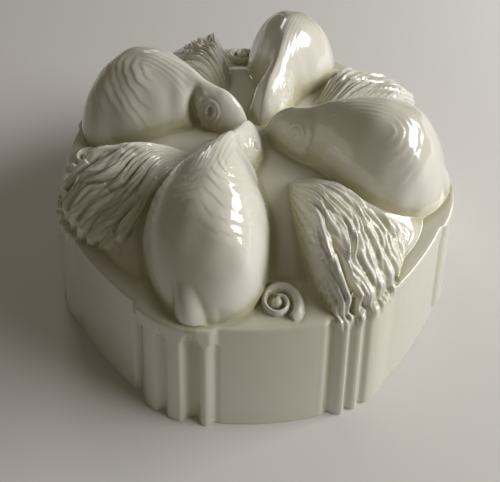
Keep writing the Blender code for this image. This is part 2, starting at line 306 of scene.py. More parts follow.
@dataclass
class Crown:
    """The crown's slope from the ledge up to its flat top, under the figures."""

    ledge_height: float
    plain_apothem: float
    scroll_apothem: float
    rise: float = 8.0
    run: float = 22.0
    lip: float = 0.6
    lip_run: float = 1.2
    lip_fade: float = 6.0
    corner_blend: float = 7.0

    def height(self, x: Array, y: Array) -> Array:
        """The form of the crown and ledge, with a low lip along the plain sides.

        Args:
            x: The places' first coordinate.
            y: Their second coordinate.

        Returns:
            The height at each place.
        """
        reach = np.full_like(x, BELOW_ALL)
        to_scroll = np.full_like(x, BELOW_ALL)
        for side in range(SIDES):
            angle = -QUARTER + side * TURN / SIDES
            plain = side % 2 == 1
            apothem = self.plain_apothem if plain else self.scroll_apothem
            beyond = x * math.cos(angle) + y * math.sin(angle) - apothem
            reach = smooth_max(reach, beyond, self.corner_blend)
            if not plain:
                to_scroll = np.maximum(to_scroll, beyond)
        inward = self.corner_blend * 0.2 - reach
        up = np.clip(inward / self.run, 0.0, 1.0)
        lip = self.lip * smoothstep(0.0, self.lip_run, inward)
        lip *= smoothstep(0.0, self.lip_fade, -to_scroll)
        return self.ledge_height + self.rise * np.sin(up * QUARTER) + lip


@dataclass(kw_only=True)
class Figure:
    """One of four like figures, a quarter turn apart round the mould."""

    number: int
    ledge_height: float
    first_angle: float = 0.0

    @property
    def angle(self) -> float:
        """The direction of this figure from the middle of the mould."""
        return self.first_angle + (self.number - 1) * QUARTER

    def local_axes(self, x: Array, y: Array) -> tuple[Array, Array]:
        """Places as (along, across) the line from the middle through the figure."""
        c, s = math.cos(self.angle), math.sin(self.angle)
        return x * c + y * s, y * c - x * s


@dataclass(frozen=True)
class HeadShape:
    """What is pressed into a bird's head: a ringed eye, the cheek's folded edge and the neck.

    A ring's place is its distance from the eye, the neck's and shoulder's how far they lie behind it.
    """

    eye_along: float = 13.9
    eye_across: float = 4.4
    eye_above_ledge: float = 15.4
    ball_proud: float = 0.6
    ball_radius: float = 4.4
    fold_depth: float = 0.2
    fold_spacing: float = 1.4
    fold_place: float = 2.2
    fold_reach: float = 1.3
    lid_proud: float = 0.25
    lid_place: float = 1.9
    lid_width: float = 0.7
    slit_depth: float = 1.3
    slit_width: float = 1.0
    cheek_place: float = 4.9
    cheek_proud: float = 0.45
    cheek_width: float = 0.7
    scallop_depth: float = 0.22
    scallops: float = 11.0
    neck_place: float = 5.9
    neck_lean: float = 0.03
    neck_depth: float = 2.6
    neck_width: float = 1.25
    clockwise_neck: float = 0.25
    shoulder_place: float = 9.0
    shoulder_proud: float = 0.8
    shoulder_width: float = 2.2
    feature_height: float = 8.0

    def relief(self, along: Array, across: Array, up: Array, clear: float) -> Array:
        """How far the head's features stand out.

        Args:
            along: The places' distance along the spine.
            across: Their distance across it.
            up: Their height above the ledge.
            clear: How clearly the head was pressed, from 0 to 1.

        Returns:
            How far the surface stands out there.
        """
        side = np.abs(across)
        back = along - self.eye_along
        out = side - self.eye_across
        rise = up - self.eye_above_ledge
        away = np.sqrt(back**2 + out**2 + (rise * 0.85) ** 2)
        slit = np.sqrt((back * 1.8) ** 2 + out**2 + (rise * 0.8) ** 2)
        eye = clear * self.rings(away, slit) + self.ball_proud * bell(away, self.ball_radius)
        cheek = clear * self.cheek(back, rise, away)
        deeper = smoothstep(-1.0, 1.0, across)
        neck = self.neck(back, rise, side)
        neck *= (self.clockwise_neck + (1 - self.clockwise_neck) * deeper) * clear
        return (eye + cheek) * smoothstep(0.6, 2.0, side) + neck

    def rings(self, away: Array, slit: Array) -> Array:
        """The folds of skin and the lid round the slit of the eye.

        Args:
            away: The places' distance from the eye.
            slit: The same, stretched so that the slit comes out narrow.

        Returns:
            How far they stand out, below zero in the slit.
        """
        folds = self.fold_depth * np.cos(TURN * away / self.fold_spacing)
        folds *= bell(away - self.fold_place, self.fold_reach)
        lid = self.lid_proud * bell(away - self.lid_place, self.lid_width)
        return folds + lid - self.slit_depth * bell(slit, self.slit_width)

    def cheek(self, back: Array, rise: Array, away: Array) -> Array:
        """The scalloped edge of the cheek, behind the eye.

        Args:
            back: How far behind the eye the places lie.
            rise: How far above it.
            away: Their distance from it.

        Returns:
            How far the edge stands out.
        """
        edge = self.cheek_proud + self.scallop_depth * np.cos(np.arctan2(rise, back) * self.scallops)
        edge *= bell(away - self.cheek_place, self.cheek_width)
        return edge * smoothstep(-2.0, 2.5, back - rise * 0.6)

    def neck(self, back: Array, rise: Array, side: Array) -> Array:
        """The hollow of the neck, and the swell of the shoulder behind it.

        Args:
            back: How far behind the eye the places lie.
            rise: How far above it.
            side: Their distance from the spine.

        Returns:
            How far they stand out, below zero in the hollow.
        """
        bend = bell(back - self.neck_place + self.neck_lean * rise**2, self.neck_width)
        hollow = -self.neck_depth * bend * smoothstep(0.8, 3.5, side) * bell(rise + 2.0, self.feature_height)
        swell = self.shoulder_proud * bell(back - self.shoulder_place, self.shoulder_width)
        return hollow + swell * smoothstep(1.5, 5.0, side) * bell(rise, self.feature_height)


@dataclass(frozen=True)
class Plumage:
    """Feather folds nested round a heart on each flank, streaks down the ridge and soft lumps.

    The folds lie mostly on the anticlockwise side of the ridge where folded_side is 1, on the
    clockwise side where it is -1, and on both where it is 0.
    """

    heart: float = 34.0
    heart_side: float = 6.0
    folded_side: float = 1.0
    depth: float = 0.36
    spacing: float = 1.9
    stretch: float = 1.3
    waver: float = 0.32
    fine_waver: float = 0.12
    streak_depth: float = 0.03
    streak_spacing: float = 1.1
    lump_height: float = 0.14
    folded: tuple = (21.0, 25.0, 45.0, 51.0)
    streaked: tuple = (19.0, 23.0, 32.0, 40.0)
    lumpy: tuple = (18.0, 26.0, 50.0, 56.0)

    def relief(self, along: Array, across: Array, seed: int) -> Array:
        """How far the feathers stand out.

        Args:
            along: The places' distance along the spine.
            across: Their distance across it.
            seed: What sets one bird's feathers apart from another's.

        Returns:
            How far the surface stands out there.
        """
        side = np.abs(across)
        past = (along - self.heart) / self.stretch
        waver = self.waver * np.sin(along * 0.45 + across * 0.35 + seed)
        waver = waver + self.fine_waver * np.sin(across * 1.7 - along)
        ring = (np.hypot(past, side - self.heart_side) + waver) / self.spacing
        lane = np.floor(ring)
        part = ring - lane
        lap = part**1.2 * (1 - smoothstep(0.7, 1.0, part)) - 0.25
        patch = 0.5 + 0.5 * np.sin(across * 0.4 + lane * 2.4 + seed) * np.sin(along * 0.28 + lane)
        folds = self.depth * lap * (0.2 + 0.8 * patch) * self.share(along, across, past)
        streak = np.sin(TURN * (across / self.streak_spacing + 0.3 * np.sin(along * 0.3 + seed)))
        ridge = within(self.streaked, along) * (1 - smoothstep(3.0, 6.5, side))
        lump = np.sin(along * 0.5 + across * 0.3 + seed) * np.cos(across * 0.55 - along * 0.2)
        lump = self.lump_height * lump * within(self.lumpy, along)
        return folds + self.streak_depth * streak * ridge + lump

    def share(self, along: Array, across: Array, past: Array) -> Array:
        """How much of the folds' depth is there.

        Args:
            along: The places' distance along the spine.
            across: Their distance across it.
            past: How far beyond the folds' heart they lie.

        Returns:
            The share, from 0 to 1.
        """
        side = np.abs(across)
        ridge = (1.5 + 3.0 * (1 - smoothstep(28.0, 38.0, along))) * abs(self.folded_side)
        there = within(self.folded, along) * smoothstep(-1.0, 3.0, past)
        there *= 0.3 + 0.7 * smoothstep(-2.0, 2.0, across * self.folded_side)
        return there * smoothstep(0.0, 2.5, side - ridge) * (1 - smoothstep(12.0, 15.5, side))


@dataclass(frozen=True)
class Tail:
    """The short tail, a rounded drop laid against the rump with its tip up."""

    proud: float = 1.4
    length: float = 11.5
    half_width: float = 4.4
    tip_half_width: float = 0.3
    aside: float = 0.4
    lean: float = 1.7
    crease_depth: float = 0.25
    starts: tuple = (52.0, 57.0)

    def relief(self, along: Array, across: Array, up: Array) -> Array:
        """How far the tail stands out from the rump.

        Args:
            along: The places' distance along the spine.
            across: Their distance across it.
            up: Their height above the ledge.

        Returns:
            The distance, below zero in the crease beside the tail.
        """
        share = np.clip(up / self.length, 0.0, 1.0)
        half = self.half_width * np.sqrt(np.clip(1 - share**1.5, 0.0, 1.0)) + self.tip_half_width
        beside = np.abs(across - self.aside + self.lean * share) / half
        drop = np.clip(1 - beside**2, 0.0, 1.0) ** 1.3 * smoothstep(0.0, 0.6, 1 - share)
        crease = self.crease_depth * bell(beside - 1.1, 0.3) * (1 - share)
        return (self.proud * drop - crease) * smoothstep(*self.starts, along)


@dataclass(kw_only=True)
class Bird(Figure):
    """A crouching game bird, head to the middle of the mould and rump over the ledge.

    Its back line is in shares of the way from the ledge to the crest. The neck's fill is how much
    fuller the neck is on its clockwise side, and eye_clear how clearly the head was pressed.
    """

    crest: float
    neck_fill: float = 0.0
    eye_clear: float = 1.0
    head: HeadShape = HeadShape()
    plumage: Plumage = Plumage()
    tail: Tail = Tail()
    first_angle: float = math.radians(-112.5)
    root: float = 41.0
    ends: tuple = (0.9, 63.6)
    fill_along: float = 18.0
    fill_reach: float = 6.0
    back_line: tuple = (
        (0.9, -0.1), (1.6, 0.14), (2.5, 0.302), (3.5, 0.405), (5.0, 0.536), (7.0, 0.629),
        (10.0, 0.711), (13.5, 0.746), (17.0, 0.794), (21.0, 0.893), (26.0, 0.959), (33.0, 1.0),
        (39.0, 0.976), (45.0, 0.887), (51.0, 0.691), (56.0, 0.44), (60.0, 0.182), (62.0, 0.041),
        (63.6, -0.14),
    )
    flank_line: tuple = (
        (0.9, 0.2), (2.5, 2.2), (5.0, 5.0), (8.0, 6.8), (11.4, 7.4), (15.0, 7.1), (18.6, 6.9),
        (21.5, 8.3), (24.5, 11.3), (27.5, 13.9), (33.4, 16.7), (38.0, 17.6), (42.0, 17.8),
        (50.0, 16.9), (54.0, 14.8), (57.0, 12.2), (59.6, 9.0), (61.5, 5.8), (63.0, 2.2), (63.6, 0.2),
    )
    sway_line: tuple = ((0.0, 0.0), (32.0, 0.0), (44.0, 1.1), (53.0, 2.8), (62.0, 4.0), (64.0, 4.2))

    def own_axes(self, x: Array, y: Array) -> tuple[Array, Array]:
        """Places as (along, across) the spine, which swings anticlockwise at the rump."""
        along, across = self.local_axes(x, y)
        return along, across - through(self.sway_line, along)

    def height(self, x: Array, y: Array) -> Array:
        """The form of the bird's body.

        Args:
            x: The places' first coordinate.
            y: Their second coordinate.

        Returns:
            The height at each place; the bird's root where it isn't.
        """
        along, across = self.own_axes(x, y)
        top = self.ledge_height + (self.crest - self.ledge_height) * through(self.back_line, along)
        half = np.maximum(through(self.flank_line, along), 1e-3)
        fill = self.neck_fill * bell(along - self.fill_along, self.fill_reach)
        half = half + fill * smoothstep(0.0, -3.0, across)
        fullness = 1.7 + 0.5 * smoothstep(22.0, 50.0, along)
        u = np.clip(np.abs(across) / half, 0.0, 1.0)
        u = np.where((along < self.ends[0]) | (along > self.ends[1]), 1.0, u)
        return self.root + np.maximum(top - self.root, 0.0) * (1 - u**fullness) ** (1 / fullness)

    def relief(self, x: Array, y: Array, z: Array) -> Array:
        """The head's features, the feathers and the tail.

        Args:
            x: The places' first coordinate.
            y: Their second coordinate.
            z: The height of the form there.

        Returns:
            How far they stand out from the body.
        """
        along, across = self.own_axes(x, y)
        up = z - self.ledge_height
        total = self.head.relief(along, across, up, self.eye_clear)
        total = total + self.plumage.relief(along, across, self.number)
        return total + self.tail.relief(along, across, up)


@dataclass(kw_only=True)
class GrassTuft(Figure):
    """A tuft of grass between two birds, whose locks run out over the ledge into the reeds.

    The guide lines between the lanes of locks are read at the lock stations along the tuft.
    """

    first_angle: float = math.radians(-67.5)
    root: float = 41.0
    start: float = 18.0
    ridge_line: tuple = (
        (18.0, 1.5), (20.0, 4.5), (27.0, 11.3), (34.0, 15.8), (41.0, 16.4), (46.0, 15.8),
        (51.5, 13.4), (56.0, 9.8), (60.0, 6.4), (64.0, 3.6), (69.0, 1.8),
    )
    ridge_place: tuple = (
        (18.0, 0.2), (30.0, 0.6), (36.0, 0.2), (42.0, -2.2), (48.0, -4.2), (54.0, -4.4), (67.0, -2.5),
    )
    fall_line: tuple = (
        (18.0, 0.2), (34.0, 0.32), (42.0, 0.4), (50.0, 0.42), (56.0, 0.34), (62.0, 0.2), (67.0, 0.06),
    )
    plain_side_line: tuple = (
        (18.0, 3.0), (30.0, 9.2), (38.0, 15.2), (44.0, 21.6), (49.0, 29.0), (54.0, 21.0),
        (58.0, 15.8), (62.0, 11.8), (67.0, 8.4),
    )
    lock_stations: tuple = (20.0, 30.0, 38.0, 44.0, 49.0, 54.0, 58.0, 62.0, 67.0)
    lock_lines: tuple = (
        (-2.6, -5.4, -6.9, -7.6, -8.3, -8.6, -8.3, -8.1, -7.6),
        (-2.0, -4.2, -5.0, -5.7, -6.5, -7.0, -6.4, -5.6, -4.8),
        (-1.4, -2.7, -2.9, -2.9, -2.7, -3.0, -3.1, -2.7, -2.2),
        (-0.8, -0.7, 0.0, 1.7, 1.2, -1.0, 0.2, 0.9, 0.6),
        (-0.2, 0.5, 2.9, 4.9, 4.0, 2.4, 3.4, 4.2, 3.8),
        (0.4, 2.2, 5.6, 7.6, 7.9, 7.6, 7.8, 7.6, 7.2),
        (1.0, 4.2, 8.4, 11.2, 12.0, 11.4, 11.6, 11.6, 11.4),
        (1.7, 6.0, 10.9, 14.7, 15.9, 15.6, 15.8, 16.0, 16.0),
        (2.5, 7.6, 13.0, 18.0, 20.5, 20.6, 20.8, 21.0, 21.0),
        (3.2, 9.2, 15.2, 21.6, 27.0, 27.5, 28.0, 28.0, 28.0),
    )
    lock_depth: float = 1.5
    finer_share: float = 0.55
    strand_depth: float = 0.36
    strands_per_lane: float = 2.6
    lanes_per_drop: float = 0.24
    valley_depth: float = 1.9
    valley_lane: float = 2.15
    valley_zone: tuple = (40.0, 46.0, 60.0, 64.0)
    hook_depth: float = 1.2
    hook_place: tuple = (61.6, -3.2)

    def guide(self, index: int, along: Array) -> Array:
        """The place across of one guide line between two locks."""
        return through(tuple(zip(self.lock_stations, self.lock_lines[index])), along)

    def height(self, x: Array, y: Array) -> Array:
        """The height of the body, steep on the scroll's side of its ridge; its root where it isn't."""
        top, share = self.ridge_and_share(*self.local_axes(x, y))
        return self.root + np.maximum(top, 0.0) * share

    def ridge_and_share(self, along: Array, across: Array) -> tuple[Array, Array]:
        """The slope that falls away on both sides of the ridge.

        Args:
            along: The places' distance along the tuft.
            across: Their distance across it.

        Returns:
            The slope's height above the root, and the share of it that the body keeps.
        """
        ridge = through(self.ridge_place, along)
        beyond = across - ridge
        to_plain = through(self.plain_side_line, along) - ridge
        half = np.where(beyond < 0, ridge - self.guide(0, along) + 0.6, to_plain)
        u = np.clip(np.abs(beyond) / half, 0.0, 1.0)
        u = np.where(along < self.start, 1.0, u)
        fall = through(self.fall_line, along) * (np.sqrt(np.maximum(beyond, 0.0) ** 2 + 4.0) - 2.0)
        top = self.ledge_height - self.root + through(self.ridge_line, along) - fall
        power = np.where(beyond < 0, 1.9, 8.0)
        return top, (1 - u**power) ** 0.55

    def lane_place(self, along: Array, across: Array) -> Array:
        """Counts the lanes of locks, which turn outwards down the scroll's side.

        Args:
            along: The places' distance along the tuft.
            across: Their distance across it.

        Returns:
            The number of lanes up to each place.
        """
        lines = [self.guide(index, along) for index in range(len(self.lock_lines))]
        place = np.zeros_like(along)
        for left, right in zip(lines, lines[1:]):
            place += np.clip((across - left) / (right - left), 0.0, 1.0)
        top, share = self.ridge_and_share(along, across)
        drop = self.lanes_per_drop * top * (1 - share)
        return place - np.where(across < through(self.ridge_place, along), drop, 0.0)

    def relief(self, x: Array, y: Array) -> Array:
        """The locks of grass and their strands.

        Args:
            x: The places' first coordinate.
            y: Their second coordinate.

        Returns:
            How far they stand out from the body.
        """
        along, across = self.local_axes(x, y)
        place = self.lane_place(along, across)
        locks = self.lock_depth * (self.locks(along, place, 1.0) - 0.4)
        finer = self.locks(along - 6.0, place * 1.7 + 0.4, 5.0) - 0.35
        locks += self.finer_share * self.lock_depth * finer * (1 - smoothstep(53.0, 60.0, along))
        strand = place * self.strands_per_lane + 0.35 * np.sin(along * 0.5 + place * 2.0)
        strands = self.strand_depth * (np.abs(np.sin(math.pi * strand)) ** 0.8 - 0.5)
        strands *= 1 - 0.7 * smoothstep(60.0, 66.0, along)
        calm = 0.35 + 0.65 * smoothstep(26.0, 42.0, along)
        calm = calm * (0.6 + 0.4 * smoothstep(0.3, 2.0, place))
        valley = self.valley_depth * bell(place - self.valley_lane, 0.38) * within(self.valley_zone, along)
        from_hook = np.hypot(along - self.hook_place[0], across - self.hook_place[1])
        return (locks + strands) * calm - valley - self.hook_depth * bell(from_hook, 1.0)

    def locks(self, along: Array, place: Array, seed: float) -> Array:
        """Locks that lie over one another like thatch, each with a raised and pointed tip.

        Args:
            along: The places' distance along the tuft.
            place: Their place among the lanes of locks.
            seed: Which scatter of lengths and heights to use.

        Returns:
            The height, from 0 between the locks to 1 on a tip's ridge.
        """
        bent = place + 0.18 * np.sin(along * 0.36 + place * 1.3 + seed)
        lane = np.floor(bent)
        length = 11.0 + 9.0 * hashed(lane, seed)
        piece = (along + 20.0 * hashed(lane, seed + 1.0)) / length
        part = np.floor(piece)
        reach = piece - part
        lean = 0.3 * (hashed(lane * 7.0 + part, seed + 2.0) - 0.5)
        half = 0.56 - 0.26 * reach**2
        side = np.clip(np.abs(bent - lane - 0.5 - lean * (reach - 0.5)) / half, 0.0, 1.0)
        rise = 0.45 + 0.55 * smoothstep(0.0, 0.75, reach)
        rise = rise * (1 - 0.55 * smoothstep(0.84, 1.0, reach))
        scale = 0.65 + 0.35 * hashed(lane * 3.0 + part, seed + 3.0)
        return scale * rise * (1 - side**2) ** 0.7


@dataclass(kw_only=True)
class FernScroll(Figure):
    """A fern scroll: a raised band wound in to a round heart, on the wide part of the ledge."""

    first_angle: float = math.radians(-87.4)
    from_centre: float = 55.2
    outer_radius: float = 5.0
    radius_per_turn: float = 2.9
    start_turn: float = -0.16
    end_turn: float = 1.3
    band_half_width: float = 1.45
    band_thins_by: float = 0.75
    band_thins: tuple = (0.15, 0.55)
    heart_radius: float = 1.5
    heart_aside: float = 0.4
    proud: float = 2.1
    sunk: float = 1.0

    def height(self, x: Array, y: Array) -> Array:
        """The form of the scroll, whose band starts on its clockwise side and winds in anticlockwise.

        Args:
            x: The places' first coordinate.
            y: Their second coordinate.

        Returns:
            The height at each place, sunk below the ledge where the scroll isn't.
        """
        along, across = self.local_axes(x, y)
        outward = along - self.from_centre
        away = np.hypot(outward, across)
        first = np.mod(np.arctan2(-outward, across) / TURN - self.start_turn, 1.0)
        band = np.zeros_like(away)
        for winding in range(2):
            turn = first + winding + self.start_turn
            middle = self.outer_radius - self.radius_per_turn * turn
            half = self.band_half_width - self.band_thins_by * smoothstep(*self.band_thins, turn)
            there = turn < self.end_turn
            band = np.maximum(band, np.clip(1 - ((away - middle) / half) ** 2, 0.0, 1.0) * there)
        from_heart = np.hypot(outward, across + self.heart_aside)
        heart = np.clip(1 - (from_heart / self.heart_radius) ** 2, 0.0, 1.0)
        proud = np.sqrt(np.maximum(band, heart))
        return self.ledge_height + self.proud * proud - self.sunk * (1 - np.sign(proud))


@dataclass
class Skin:
    """One skin of the casting: a grid of places by ring and direction, with a pole in the middle."""

    places: Array
    normals: Array
    pool: Array


@dataclass
class Casting:
    """The whole casting, worked out once, from which each member is cut.

    The rings run out over the crown and down the wall to the mouth, and the inner skin follows them.
    A zone is given in shares of the way from the middle to the ledge's edge.
    """

    outline: WallOutline
    crown: Crown
    birds: list[Bird]
    tufts: list[GrassTuft]
    scrolls: list[FernScroll]
    directions: int = 1200
    inner_rings: int = 110
    outer_rings: int = 90
    dense_from: float = 0.78
    edge_rings: int = 5
    wall_rings: int = 12
    groove_rings: int = 6
    groove_top: float = 0.16
    groove_start: float = 0.1
    groove_run: float = 0.13
    circle_swell: float = 1.04
    octagon_zone: tuple = (0.15, 0.8)
    reed_zone: tuple = (0.94, 1.0)
    settle_zone: tuple = (0.97, 1.0)
    inner_edge_zone: tuple = (0.72, 1.0)
    inner_level_zone: tuple = (0.93, 1.0)
    relief_above: tuple = (5.0, 0.5)
    relief_clear: tuple = (-0.2, 0.8)
    shell: float = 4.3
    inner_turn: float = 2.6
    inner_reeds: float = 0.45
    inner_softness: float = 0.8
    blend: float = 1.0
    grid_spacing: float = 0.5
    crease_radius: float = 1.5
    crease_depth: float = 0.9
    groove_pool: float = 0.8
    ledge_width: float = 7.0
    names: list[str] = field(init=False)

    def __post_init__(self) -> None:
        """Works out both skins and which member each cell belongs to."""
        self.theta = np.arange(self.directions) * TURN / self.directions
        inside = np.linspace(0.0, self.dense_from, self.inner_rings + 1)[1:]
        outside = np.linspace(self.dense_from, 1.0, self.outer_rings + 1)[1:]
        self.share = np.concatenate([inside, outside])[:, None]
        self.crown_rings = self.inner_rings + self.outer_rings
        self.names = [Member.WALL.value, Member.CROWN.value]
        for member, figures in (
            (Member.BIRD, self.birds),
            (Member.TUFT, self.tufts),
            (Member.SCROLL, self.scrolls),
        ):
            self.names += [f"{member.value}_{figure.number}" for figure in figures]
        self.lay_out_grid()
        self.outer = self.outer_skin()
        self.inner = self.inner_skin()
        self.owner = self.owners()

    def lay_out_grid(self) -> None:
        """Heights on a square grid, for the softened and inset forms that a ring can't give."""
        half = self.outline.top_apothem * 1.2
        self.grid_line = np.arange(-half, half + self.grid_spacing, self.grid_spacing)
        x, y = np.meshgrid(self.grid_line, self.grid_line, indexing="ij")
        base, _ = self.heights(x, y)
        relief = self.relief(x, y, base)
        soft = soften(base + relief, self.crease_radius, self.grid_spacing)
        self.grid_pool = np.clip((soft - base - relief) / self.crease_depth, -1.0, 1.0)
        self.grid_inset = soften(self.inset_by_ball(base), self.inner_softness, self.grid_spacing)

    def inset_by_ball(self, base: Array) -> Array:
        """Sets a form in by the shell's thickness, as a ball that rolls under it would.

        Args:
            base: The form's heights on the square grid.

        Returns:
            The heights of the form inside it.
        """
        reach = int(self.shell / self.grid_spacing)
        inset = np.full_like(base, -BELOW_ALL)
        padded = np.pad(base, reach, mode="edge")
        for i in range(-reach, reach + 1):
            for j in range(-reach, reach + 1):
                away = math.hypot(i, j) * self.grid_spacing
                if away <= self.shell:
                    rows = slice(reach + i, reach + i + len(base))
                    columns = slice(reach + j, reach + j + len(base))
                    ball = math.sqrt(self.shell**2 - away**2)
                    inset = np.minimum(inset, padded[rows, columns] - ball)
        return inset

    def read_grid(self, grid: Array, x: Array, y: Array) -> Array:
        """Reads a square grid between its points.

        Args:
            grid: The values.
            x: The places' first coordinate.
            y: Their second coordinate.

        Returns:
            The value at each place.
        """
        u = (x - self.grid_line[0]) / self.grid_spacing
        v = (y - self.grid_line[0]) / self.grid_spacing
        i, j = (np.clip(w.astype(int), 0, len(self.grid_line) - 2) for w in (u, v))
        u, v = u - i, v - j
        low = grid[i, j] * (1 - v) + grid[i, j + 1] * v
        high = grid[i + 1, j] * (1 - v) + grid[i + 1, j + 1] * v
        return low * (1 - u) + high * u

    def heights(self, x: Array, y: Array) -> tuple[Array, Array]:
        """The height of the form, and which member is on top.

        Args:
            x: The places' first coordinate.
            y: Their second coordinate.

        Returns:
            The blended height, and the index of the top member in the list of names.
        """
        fields = [self.crown.height(x, y)]
        fields += [figure.height(x, y) for figure in self.birds + self.tufts + self.scrolls]
        top = np.argmax(np.stack(fields), axis=0) + 1
        height = fields[0]
        for figure_field in fields[1:]:
            height = smooth_max(height, figure_field, self.blend)
        return height, top

    def relief(self, x: Array, y: Array, z: Array) -> Array:
        """The figures' fine relief, faded out where a neighbour meets them.

        Args:
            x: The places' first coordinate.
            y: Their second coordinate.
            z: The height of the form there.

        Returns:
            How far the relief stands out along the form's normals.
        """
        figures = self.birds + self.tufts
        fields = np.stack([figure.height(x, y) for figure in figures])
        ground = self.crown.height(x, y)
        total = np.zeros_like(x)
        for index, figure in enumerate(figures):
            rest = np.maximum(np.delete(fields, index, axis=0).max(axis=0), ground)
            clear = smoothstep(*self.relief_clear, fields[index] - rest)
            raised = figure.relief(x, y, z) if isinstance(figure, Bird) else figure.relief(x, y)
            total += clear * raised
        return total

    def crown_radius(self, outline: Array, plain: Array) -> Array:
        """Radii of the crown's rings, which turn from circles into the wall's outline.

        Args:
            outline: The outline's radii at the ledge's edge.
            plain: Those of a plain octagon there.

        Returns:
            The radii by ring and direction.
        """
        octagonal = smoothstep(*self.octagon_zone, self.share)
        circle = self.outline.top_apothem * self.circle_swell
        ring = self.share * (circle * (1 - octagonal) + plain * octagonal)
        return ring + (outline - plain) * smoothstep(*self.reed_zone, self.share)

    def wall_levels(self, inner: bool) -> list[tuple[float, float, float]]:
        """The rings from the ledge down to the mouth.

        Args:
            inner: Whether they are the inside's.

        Returns:
            The apothem, the height and how far the grooves are cut in, for each ring.
        """
        wall = self.outline
        inset = wall.thickness if inner else 0.0
        top = wall.height - (self.shell if inner else 0.0)
        turn_in = self.inner_turn if inner else wall.edge_round
        start = top - turn_in
        bends = [i / self.edge_rings for i in range(1, self.edge_rings + 1)]
        levels = []
        for bend in bends:
            back = turn_in * (1 - math.sin(QUARTER * bend))
            height = top - turn_in * (1 - math.cos(QUARTER * bend))
            levels.append((wall.apothem(start) - inset - back, height, self.groove_start * bend))
        shares = [self.groove_top * i / self.groove_rings for i in range(1, self.groove_rings + 1)]
        below = 1 - self.groove_top
        shares += [self.groove_top + below * i / self.wall_rings for i in range(1, self.wall_rings + 1)]
        for share in shares:
            height = start * (1 - share) + wall.rim_round * share
            carved = min(1.0, self.groove_start + share / self.groove_run)
            levels.append((wall.apothem(height) - inset, height, carved))
        for bend in bends:
            back = (-1 if inner else 1) * wall.rim_round * (1 - math.cos(QUARTER * bend))
            height = wall.rim_round * (1 - math.sin(QUARTER * bend))
            levels.append((wall.apothem(0) - inset - back, height, 1.0))
        return levels

    def ring_grid(self, inner: bool) -> tuple[Array, Array]:
        """Plan radii of every ring of a skin, and the heights of the wall's rings.

        Args:
            inner: Whether the skin is the inside.

        Returns:
            The radii by ring and direction, and the heights of the rings below the ledge.
        """
        wall = self.outline
        full = wall.radius(self.theta, wall.top_apothem, wall.top_apothem / wall.mouth_apothem, 0.0)
        plain = wall.plain_radius(self.theta, wall.top_apothem)
        radii = self.crown_radius(full[None, :], plain[None, :])
        levels = self.wall_levels(inner)
        if inner:
            edge = wall.radius(self.theta, levels[0][0], self.inner_reeds, 0.0)
            near = smoothstep(*self.inner_edge_zone, self.share)
            radii = radii * (1 - near) + self.share * edge[None, :] * near
        rings = [radii]
        for apothem, _, carved in levels:
            relief = self.inner_reeds if inner else apothem / wall.mouth_apothem
            rings.append(wall.radius(self.theta, apothem, relief, carved)[None, :])
        heights = np.array([height for _, height, _ in levels])[:, None]
        return np.concatenate(rings), np.broadcast_to(heights, (len(levels), self.directions))

    def close_skin(self, places: Array, pool: Array, pole: float) -> Skin:
        """Adds the pole to a grid of places and works out its normals.

        Args:
            places: The places by ring and direction.
            pool: How deep the glaze lies at each.
            pole: The height in the middle.

        Returns:
            The finished skin.
        """
        around = np.roll(places, -1, axis=1) - np.roll(places, 1, axis=1)
        outward = np.gradient(places, axis=0)
        normals = np.cross(outward, around)
        normals /= np.linalg.norm(normals, axis=2, keepdims=True) + TINY
        places = np.concatenate([[[0.0, 0.0, pole]], places.reshape(-1, 3)])
        normals = np.concatenate([[[0.0, 0.0, 1.0]], normals.reshape(-1, 3)])
        pool = np.concatenate([[0.0], pool.ravel()])
        return Skin(places, normals, pool)

    def outer_skin(self) -> Skin:
        """The glazed outside, with the figures' relief raised along its normals.

        Returns:
            The skin.
        """
        radii, wall_heights = self.ring_grid(inner=False)
        x, y = radii * np.cos(self.theta), radii * np.sin(self.theta)
        crown = slice(0, self.crown_rings)
        ledge = self.outline.height
        base, _ = self.heights(x[crown], y[crown])
        places = np.stack([x, y, np.concatenate([base, wall_heights])], axis=2)
        settle = smoothstep(*self.settle_zone, self.share)
        places[crown, :, 2] = ledge + (places[crown, :, 2] - ledge) * (1 - settle)
        plain = self.close_skin(places, np.zeros(radii.shape), 0.0)
        normals = plain.normals[1:].reshape(places.shape)
        z = places[:, :, 2].copy()
        z[crown] = base
        bare, full = (ledge - below for below in self.relief_above)
        relief = self.relief(x, y, z) * smoothstep(bare, full, z)
        places = places + normals * relief[:, :, None]
        pool = np.zeros(radii.shape)
        pool[crown] = self.read_grid(self.grid_pool, x[crown], y[crown])
        pool[self.crown_rings :] = self.outline.groove(self.theta)[None, :] * self.groove_pool
        return self.close_skin(places, pool, float(places[0, :, 2].mean()))

    def inner_skin(self) -> Skin:
        """The inside, a shell's thickness in from the form and softer than it.

        Returns:
            The skin.
        """
        radii, wall_heights = self.ring_grid(inner=True)
        x, y = radii * np.cos(self.theta), radii * np.sin(self.theta)
        crown = slice(0, self.crown_rings)
        inset = self.read_grid(self.grid_inset, x[crown], y[crown])
        near = smoothstep(*self.inner_level_zone, self.share)
        inset = inset * (1 - near) + (self.outline.height - self.shell) * near
        places = np.stack([x, y, np.concatenate([inset, wall_heights])], axis=2)
        return self.close_skin(places, np.zeros(radii.shape), float(inset[0].mean()))

